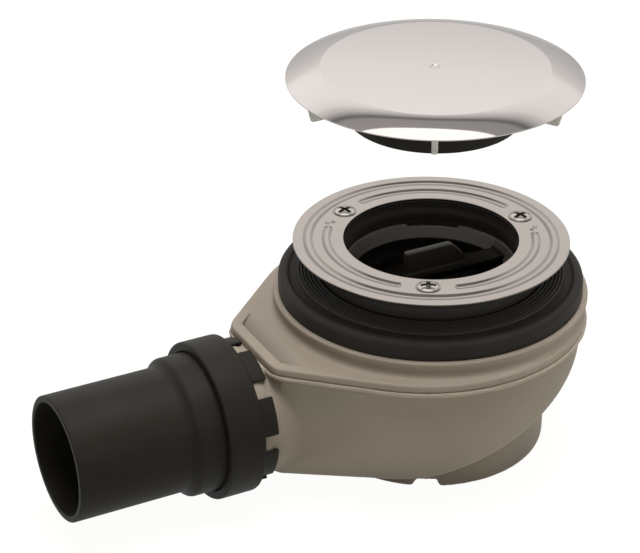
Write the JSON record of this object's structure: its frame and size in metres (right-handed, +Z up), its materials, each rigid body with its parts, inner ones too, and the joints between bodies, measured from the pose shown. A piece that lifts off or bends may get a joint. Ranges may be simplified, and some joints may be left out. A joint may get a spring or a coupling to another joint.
{
  "type": "shower trap",
  "caption": "Low shower trap with a round lift-off steel cover, a clamping flange over a ribbed tray seal, a lift-out dip tube, a rounded body and a plain side outlet.",
  "frame": {"origin": "on the inlet axis, in the plane of the feet", "axes": "+Z up along the inlet axis; the outlet runs level along -X; the part is mirrored about the XZ plane"},
  "size_m": [0.2267, 0.1344, 0.1622],
  "materials": {
    "beige_plastic": "satin moulded",
    "black_plastic": "satin moulded",
    "black_rubber": "matt",
    "stainless_flange": "satin pressed",
    "stainless_cover": "bright polished",
    "screw_steel": "bright",
    "brass": "turned",
    "grey_plastic": "satin moulded"
  },
  "bodies": {
    "trap": {"lower_shell": "beige_plastic", "upper_shell": "beige_plastic", "inlet_sleeve": "black_plastic", "tray_seal": "black_rubber", "flange_gasket": "black_rubber", "flange_ring": "stainless_flange", "threaded_inserts": "brass", "flange_screws": "screw_steel", "dip_tube": "black_plastic", "dip_tube_o_ring": "black_rubber", "outlet_seal": "black_rubber", "outlet_spigot": "black_plastic", "snap_ring": "black_plastic"},
    "cover": {"cover_plate": "stainless_cover", "cover_carrier": "grey_plastic", "cover_collar": "black_plastic"}
  },
  "joints": [
    {"name": "cover_lift", "type": "slide", "parent": "trap", "child": "cover", "axis": [0, 0, 1], "range_m": [-0.0619, 0]}
  ]
}
